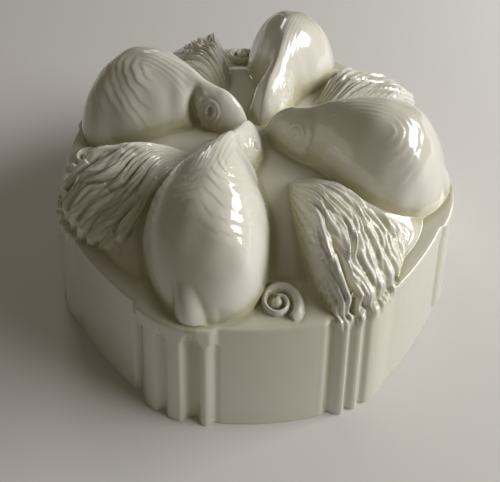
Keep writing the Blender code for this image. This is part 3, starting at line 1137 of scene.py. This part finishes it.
    def owners(self) -> Array:
        """Shares the cells of the grid out among the members.

        Returns:
            The index of each cell's member in the list of names, by ring and direction.
        """
        radii, _ = self.ring_grid(inner=False)
        inner_edge = np.concatenate([np.zeros((1, self.directions)), radii[:-1]])
        middle = (inner_edge + radii) / 2
        theta = self.theta + math.pi / self.directions
        _, owner = self.heights(middle * np.cos(theta), middle * np.sin(theta))
        outline = self.outline
        seam = outline.plain_radius(theta, outline.apothem(outline.height) - self.ledge_width)
        wall, crown = (self.names.index(member.value) for member in (Member.WALL, Member.CROWN))
        owner[(middle > seam[None, :]) & (owner == crown)] = wall
        owner[self.crown_rings :] = wall
        return owner

    def cells(self) -> tuple[Array, Array]:
        """Lists the cells of the grid.

        Returns:
            The corners of each cell, a triangle's last corner twice, and the member it belongs to.
        """
        j = np.arange(self.directions)
        index = 1 + np.arange(len(self.owner))[:, None] * self.directions
        outer = index + j[None, :]
        outer_after = index + ((j + 1) % self.directions)[None, :]
        quads = np.stack([outer[:-1], outer[1:], outer_after[1:], outer_after[:-1]], axis=2)
        pole = np.stack([np.zeros_like(j), outer[0], outer_after[0], outer_after[0]], axis=1)
        corners = np.concatenate([pole[None], quads])
        return corners.reshape(-1, 4), self.owner.reshape(-1)

    def shell_of(self, name: str) -> bpy.types.Object:
        """One member as a closed shell: its outer cells, its inner cells and the cut between.

        Args:
            name: The member's name, which is also its node's.

        Returns:
            The member as an object in metres.
        """
        corners, owner = self.cells()
        own = corners[owner == self.names.index(name)]
        count = len(self.outer.places)
        starts = own.ravel()
        ends = np.roll(own, -1, axis=1).ravel()
        real = starts != ends
        starts, ends = starts[real], ends[real]
        forward = starts.astype(np.int64) * count + ends
        backward = ends.astype(np.int64) * count + starts
        open_edge = ~np.isin(forward, backward)
        a, b = starts[open_edge], ends[open_edge]
        sides = np.stack([b, a, a + count, b + count], axis=1)
        faces = np.concatenate([own, own[:, ::-1] + count, sides])
        kinds = np.repeat([kind.value for kind in CellKind], [len(own), len(own), len(sides)])
        used, packed = np.unique(faces, return_inverse=True)
        return self.mesh_object(name, used, packed.reshape(faces.shape), kinds)

    def mesh_object(self, name: str, used: Array, faces: Array, kinds: Array) -> bpy.types.Object:
        """Makes the mesh of one member, with the casting's own normals and glaze depth.

        Args:
            name: The member's name.
            used: Which places of the outer and inner skins it uses, one list after the other.
            faces: The corners of its faces among those, a triangle's last corner twice.
            kinds: The kind of each face's cell.

        Returns:
            The member as an object in metres.
        """
        places = np.concatenate([self.outer.places, self.inner.places])[used] * MM
        normals = np.concatenate([self.outer.normals, -self.inner.normals])[used]
        pool = np.concatenate([self.outer.pool, self.inner.pool])[used]
        doubled = faces == np.roll(faces, -1, axis=1)
        loops = faces[~doubled]
        sizes = 4 - doubled.sum(axis=1)
        mesh = bpy.data.meshes.new(name)
        mesh.vertices.add(len(places))
        mesh.vertices.foreach_set("co", places.astype(np.float32).ravel())
        mesh.loops.add(len(loops))
        mesh.loops.foreach_set("vertex_index", loops.astype(np.int32))
        mesh.polygons.add(len(faces))
        mesh.polygons.foreach_set("loop_start", (np.cumsum(sizes) - sizes).astype(np.int32))
        mesh.update(calc_edges=True)
        mesh.shade_smooth()
        cut = kinds == CellKind.CUT.value
        first, second, third = (places[faces[cut][:, k]] for k in (0, 1, 2))
        flat = np.cross(second - first, third - first)
        flat /= np.linalg.norm(flat, axis=1, keepdims=True) + TINY
        loop_normals = normals[loops]
        loop_normals[np.repeat(cut, sizes)] = np.repeat(flat, sizes[cut], axis=0)
        mesh.normals_split_custom_set(loop_normals.astype(np.float32))
        depth = mesh.attributes.new(GLAZE_DEPTH, "FLOAT", "POINT")
        depth.data.foreach_set("value", pool.astype(np.float32))
        made = bpy.data.objects.new(f"{name}_casting", mesh)
        bpy.context.scene.collection.objects.link(made)
        return made


@dataclass
class NodeBench:
    """Adds nodes to one shader tree."""

    tree: bpy.types.NodeTree

    def add(self, kind: str, values: dict, feeds: dict) -> bpy.types.Node:
        """Adds a node.

        Args:
            kind: The node's type, without the ShaderNode that it starts with.
            values: Its own values, by socket.
            feeds: The outputs that feed its other sockets, by socket.

        Returns:
            The node.
        """
        node = self.tree.nodes.new(f"ShaderNode{kind}")
        self.set_up(node, values, feeds)
        return node

    def set_up(self, node: bpy.types.Node, values: dict, feeds: dict) -> None:
        """Gives a node its own values and links the outputs that feed it.

        Args:
            node: The node.
            values: Its own values, by socket.
            feeds: The outputs that feed its other sockets, by socket.
        """
        for socket, value in values.items():
            node.inputs[socket].default_value = value
        for socket, source in feeds.items():
            self.tree.links.new(source, node.inputs[socket])

    def mix(self, factor: Socket, a: Socket, b: Socket) -> Socket:
        """Mixes two colours.

        Args:
            factor: How much of the second colour is there.
            a: The first colour.
            b: The second colour.

        Returns:
            The mixed colour.
        """
        node = self.add("Mix", {}, {})
        node.data_type = "RGBA"
        self.set_up(node, {}, {"Factor": factor, "A": a, "B": b})
        return node.outputs["Result"]

    def eased(self, value: Socket, start: float, end: float) -> Socket:
        """Eases a value from 0 at a start to 1 at an end.

        Args:
            value: The value.
            start: Where it comes out as 0.
            end: Where it comes out as 1.

        Returns:
            The eased value.
        """
        node = self.add("MapRange", {}, {})
        node.interpolation_type = "SMOOTHSTEP"
        self.set_up(node, {"From Min": start, "From Max": end}, {"Value": value})
        return node.outputs["Result"]

    def scaled_onto(self, value: Socket, scale: float, base: Socket) -> Socket:
        """Multiplies a value and adds it to a base.

        Args:
            value: The value.
            scale: What it is multiplied by.
            base: What it is added to.

        Returns:
            The sum.
        """
        node = self.add("Math", {}, {})
        node.operation = "MULTIPLY_ADD"
        self.set_up(node, {1: scale}, {0: value, 2: base})
        return node.outputs[0]


@dataclass(frozen=True)
class GlazeFinish:
    """A cream glaze over white earthenware, thin on the ridges and pooled in the creases."""

    name: str
    thin: tuple = (0.80, 0.775, 0.70)
    full: tuple = (0.735, 0.70, 0.595)
    pooled: tuple = (0.60, 0.565, 0.40)
    roughness: float = 0.2
    coat_roughness: float = 0.04
    refraction: float = 1.5
    under_coat_shine: float = 0.15
    ripple_strength: float = 0.25
    ripple_height: float = 0.0004
    seed: float = 0.0

    def material(self) -> bpy.types.Material:
        """Builds the glaze as a shader.

        Returns:
            The material, whose colour follows the glaze's depth.
        """
        made = bpy.data.materials.new(self.name)
        made.use_nodes = True
        bench = NodeBench(made.node_tree)
        depth = bench.add("Attribute", {}, {})
        depth.attribute_name = GLAZE_DEPTH
        place = bench.add("TexCoord", {}, {})
        pooling = bench.add("Group", {}, {})
        pooling.node_tree = GlazePooling().group()
        colours = {"Thin": self.thin, "Full": self.full, "Pooled": self.pooled}
        values = {name: (*colour, 1.0) for name, colour in colours.items()}
        values |= {"Roughness": self.roughness, "Seed": self.seed}
        bench.set_up(pooling, values, {"Depth": depth.outputs["Fac"], "Place": place.outputs["Object"]})
        bump = bench.add(
            "Bump",
            {"Strength": self.ripple_strength, "Distance": self.ripple_height},
            {"Height": pooling.outputs["Ripple"]},
        )
        bench.set_up(
            made.node_tree.nodes["Principled BSDF"],
            {
                "Coat Weight": 1.0,
                "Coat Roughness": self.coat_roughness,
                "IOR": self.refraction,
                "Specular IOR Level": self.under_coat_shine,
            },
            {
                "Base Color": pooling.outputs["Color"],
                "Roughness": pooling.outputs["Roughness"],
                "Normal": bump.outputs["Normal"],
            },
        )
        return made


@dataclass(frozen=True)
class GlazePooling:
    """The shared effect of a glaze that runs thin over ridges and gathers in creases.

    A slow drift moves the depths at which it counts as thin or pooled, each as (start, end).
    """

    drift_scale: float = 42.0
    drift_detail: float = 3.0
    drift_share: float = 0.35
    thin_depth: tuple = (0.25, -0.5)
    pooled_depth: tuple = (0.2, 1.0)
    ripple_scale: float = 160.0
    ripple_detail: float = 2.0
    ripple_roughness: float = 0.06

    def group(self) -> bpy.types.NodeTree:
        """Makes the effect's node group, the first time that it is asked for.

        Returns:
            The node group.
        """
        found = bpy.data.node_groups.get("glaze_pooling")
        if found:
            return found
        group = bpy.data.node_groups.new("glaze_pooling", "ShaderNodeTree")
        for name, way, kind in (
            ("Thin", "INPUT", "Color"),
            ("Full", "INPUT", "Color"),
            ("Pooled", "INPUT", "Color"),
            ("Depth", "INPUT", "Float"),
            ("Place", "INPUT", "Vector"),
            ("Roughness", "INPUT", "Float"),
            ("Seed", "INPUT", "Float"),
            ("Color", "OUTPUT", "Color"),
            ("Roughness", "OUTPUT", "Float"),
            ("Ripple", "OUTPUT", "Float"),
        ):
            group.interface.new_socket(name, in_out=way, socket_type=f"NodeSocket{kind}")
        bench = NodeBench(group)
        given = group.nodes.new("NodeGroupInput").outputs
        drift = bench.add("TexNoise", {}, {})
        drift.noise_dimensions = "4D"
        values = {"Scale": self.drift_scale, "Detail": self.drift_detail}
        bench.set_up(drift, values, {"Vector": given["Place"], "W": given["Seed"]})
        shifted = bench.scaled_onto(drift.outputs["Fac"], self.drift_share, given["Depth"])
        thin = bench.eased(shifted, *self.thin_depth)
        body = bench.mix(thin, given["Full"], given["Thin"])
        colour = bench.mix(bench.eased(shifted, *self.pooled_depth), body, given["Pooled"])
        values = {"Scale": self.ripple_scale, "Detail": self.ripple_detail}
        ripple = bench.add("TexNoise", values, {"Vector": given["Place"]}).outputs["Fac"]
        rough = bench.scaled_onto(ripple, self.ripple_roughness, given["Roughness"])
        taken = {"Color": colour, "Roughness": rough, "Ripple": ripple}
        bench.set_up(group.nodes.new("NodeGroupOutput"), {}, taken)
        return group


@dataclass
class Studio:
    """A pale table and soft daylight from the right and behind, from the photograph's view."""

    floor_size: float = 4.0
    floor_drop: float = 0.00005
    floor_colour: tuple = (0.8, 0.78, 0.765)
    floor_roughness: float = 0.9
    key_place: tuple = (0.84, -0.04, 0.46)
    key_size: tuple = (0.72, 0.4)
    key_power: float = 9.0
    back_place: tuple = (-0.2, 0.8, 0.5)
    back_size: tuple = (0.3, 0.2)
    back_power: float = 0.8
    daylight: tuple = (1.0, 0.998, 0.978)
    lit_place: tuple = (0.0, 0.0, 0.03)
    sky: tuple = (1.0, 0.86, 0.62)
    sky_strength: float = 0.095
    camera_place: tuple = (-0.00678, -0.09599, 0.13975)
    camera_yaw: float = -5.204
    camera_pitch: float = 52.563
    camera_roll: float = 2.165
    focal_pixels: float = 396.36
    middle_pixel: tuple = (260.2, 205.7)
    picture: tuple = (500, 482)
    near_clip: float = 0.01

    def lay_floor(self) -> None:
        """The plain pale table top."""
        mesh = bpy.data.meshes.new("table_top")
        half = self.floor_size / 2
        corners = [(-half, -half, 0), (half, -half, 0), (half, half, 0), (-half, half, 0)]
        mesh.from_pydata(corners, [], [(0, 1, 2, 3)])
        floor = bpy.data.objects.new("table_top", mesh)
        bpy.context.scene.collection.objects.link(floor)
        floor.location.z = -self.floor_drop
        material = bpy.data.materials.new("table_top")
        material.use_nodes = True
        shader = material.node_tree.nodes["Principled BSDF"]
        shader.inputs["Base Color"].default_value = (*self.floor_colour, 1.0)
        shader.inputs["Roughness"].default_value = self.floor_roughness
        mesh.materials.append(material)

    def hang_window(self, name: str, place: tuple, size: tuple, power: float) -> None:
        """Hangs one window of light, turned to the mould.

        Args:
            name: What the window is called.
            place: Where its middle is, in metres.
            size: Its width and height.
            power: Its power in watts.
        """
        lamp = bpy.data.lights.new(name, "AREA")
        lamp.shape = "RECTANGLE"
        lamp.size, lamp.size_y = size
        lamp.energy = power
        lamp.color = self.daylight
        window = bpy.data.objects.new(name, lamp)
        bpy.context.scene.collection.objects.link(window)
        window.location = place
        aim = Vector(self.lit_place) - window.location
        window.rotation_euler = aim.to_track_quat("-Z", "Y").to_euler()

    def light(self) -> None:
        """A wide window on the right, a smaller one behind, and an even dim room."""
        self.hang_window("right_window", self.key_place, self.key_size, self.key_power)
        self.hang_window("back_window", self.back_place, self.back_size, self.back_power)
        world = bpy.data.worlds.new("sky")
        world.use_nodes = True
        bench = NodeBench(world.node_tree)
        room = world.node_tree.nodes["Background"]
        bench.set_up(room, {"Color": (*self.sky, 1.0), "Strength": self.sky_strength}, {})
        seen = bench.add("Background", {"Color": (*self.floor_colour, 1.0)}, {})
        path = bench.add("LightPath", {}, {})
        shaders = {1: room.outputs["Background"], 2: seen.outputs["Background"]}
        either = bench.add("MixShader", {}, {"Fac": path.outputs["Is Camera Ray"]} | shaders)
        bench.set_up(world.node_tree.nodes["World Output"], {}, {"Surface": either.outputs["Shader"]})
        bpy.context.scene.world = world

    def aim_camera(self) -> None:
        """Stands the camera where the photograph was taken from."""
        angles = (self.camera_yaw, self.camera_pitch, self.camera_roll)
        yaw, pitch, roll = (math.radians(angle) for angle in angles)
        ahead = Vector(
            (-math.sin(yaw) * math.cos(pitch), math.cos(yaw) * math.cos(pitch), -math.sin(pitch))
        )
        level = Vector((math.cos(yaw), math.sin(yaw), 0.0))
        upward = level.cross(ahead)
        right = level * math.cos(roll) + upward * math.sin(roll)
        up = upward * math.cos(roll) - level * math.sin(roll)
        turn = Matrix((right, up, -ahead)).transposed().to_4x4()
        data = bpy.data.cameras.new("photograph")
        camera = bpy.data.objects.new("photograph", data)
        bpy.context.scene.collection.objects.link(camera)
        camera.matrix_world = Matrix.Translation(Vector(self.camera_place)) @ turn
        width, height = self.picture
        data.lens = self.focal_pixels * data.sensor_width / width
        data.shift_x = (width / 2 - self.middle_pixel[0]) / width
        data.shift_y = (self.middle_pixel[1] - height / 2) / width
        data.clip_start = self.near_clip
        bpy.context.scene.camera = camera
        bpy.context.scene.view_settings.view_transform = "Standard"


@dataclass
class JellyMould:
    """The mould as a whole: its ledges, and the room that the feathers' lumps need on the crest."""

    lump_room: float = 0.35
    plain_ledge: float = 4.2
    scroll_ledge: float = 13.5

    def casting(self) -> Casting:
        """Sizes the members to the frame and works out the casting.

        Returns:
            The casting, with its four birds finished by hand, each a little differently.
        """
        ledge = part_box("wall")[1].z / MM
        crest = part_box("bird_1")[1].z / MM - self.lump_room
        outline = WallOutline(height=ledge)
        top = outline.apothem(ledge)
        hands = (
            {"plumage": Plumage(heart=31.0, heart_side=5.0, folded_side=0.0, depth=0.5)},
            {
                "neck_fill": 3.6,
                "eye_clear": 0.35,
                "plumage": Plumage(heart=37.5, heart_side=7.0, folded_side=-1.0),
                "tail": Tail(proud=0.7),
            },
            {
                "neck_fill": 2.0,
                "eye_clear": 0.35,
                "plumage": Plumage(heart_side=6.0, depth=0.5, streak_depth=0.02),
            },
            {"plumage": Plumage(heart=30.0, heart_side=4.0)},
        )
        return Casting(
            outline=outline,
            crown=Crown(ledge, top - self.plain_ledge, top - self.scroll_ledge),
            birds=[
                Bird(number=number, ledge_height=ledge, crest=crest, **hand)
                for number, hand in enumerate(hands, start=1)
            ],
            tufts=[GrassTuft(number=number, ledge_height=ledge) for number in range(1, 5)],
            scrolls=[FernScroll(number=number, ledge_height=ledge) for number in range(1, 5)],
        )


def main() -> None:
    """Builds the casting, dresses its members, and sets the table, light and camera."""
    logging.basicConfig(level=logging.INFO, format="%(message)s")
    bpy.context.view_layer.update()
    casting = JellyMould().casting()
    glaze = GlazeFinish("cream_glaze").material()
    for name in casting.names:
        piece = casting.shell_of(name)
        piece.data.materials.append(glaze)
        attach(piece, "root")
        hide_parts(name)
        LOG.info("%s: %d faces", name, len(piece.data.polygons))
    studio = Studio()
    studio.lay_floor()
    studio.light()
    studio.aim_camera()


if __name__ == "__main__":
    main()
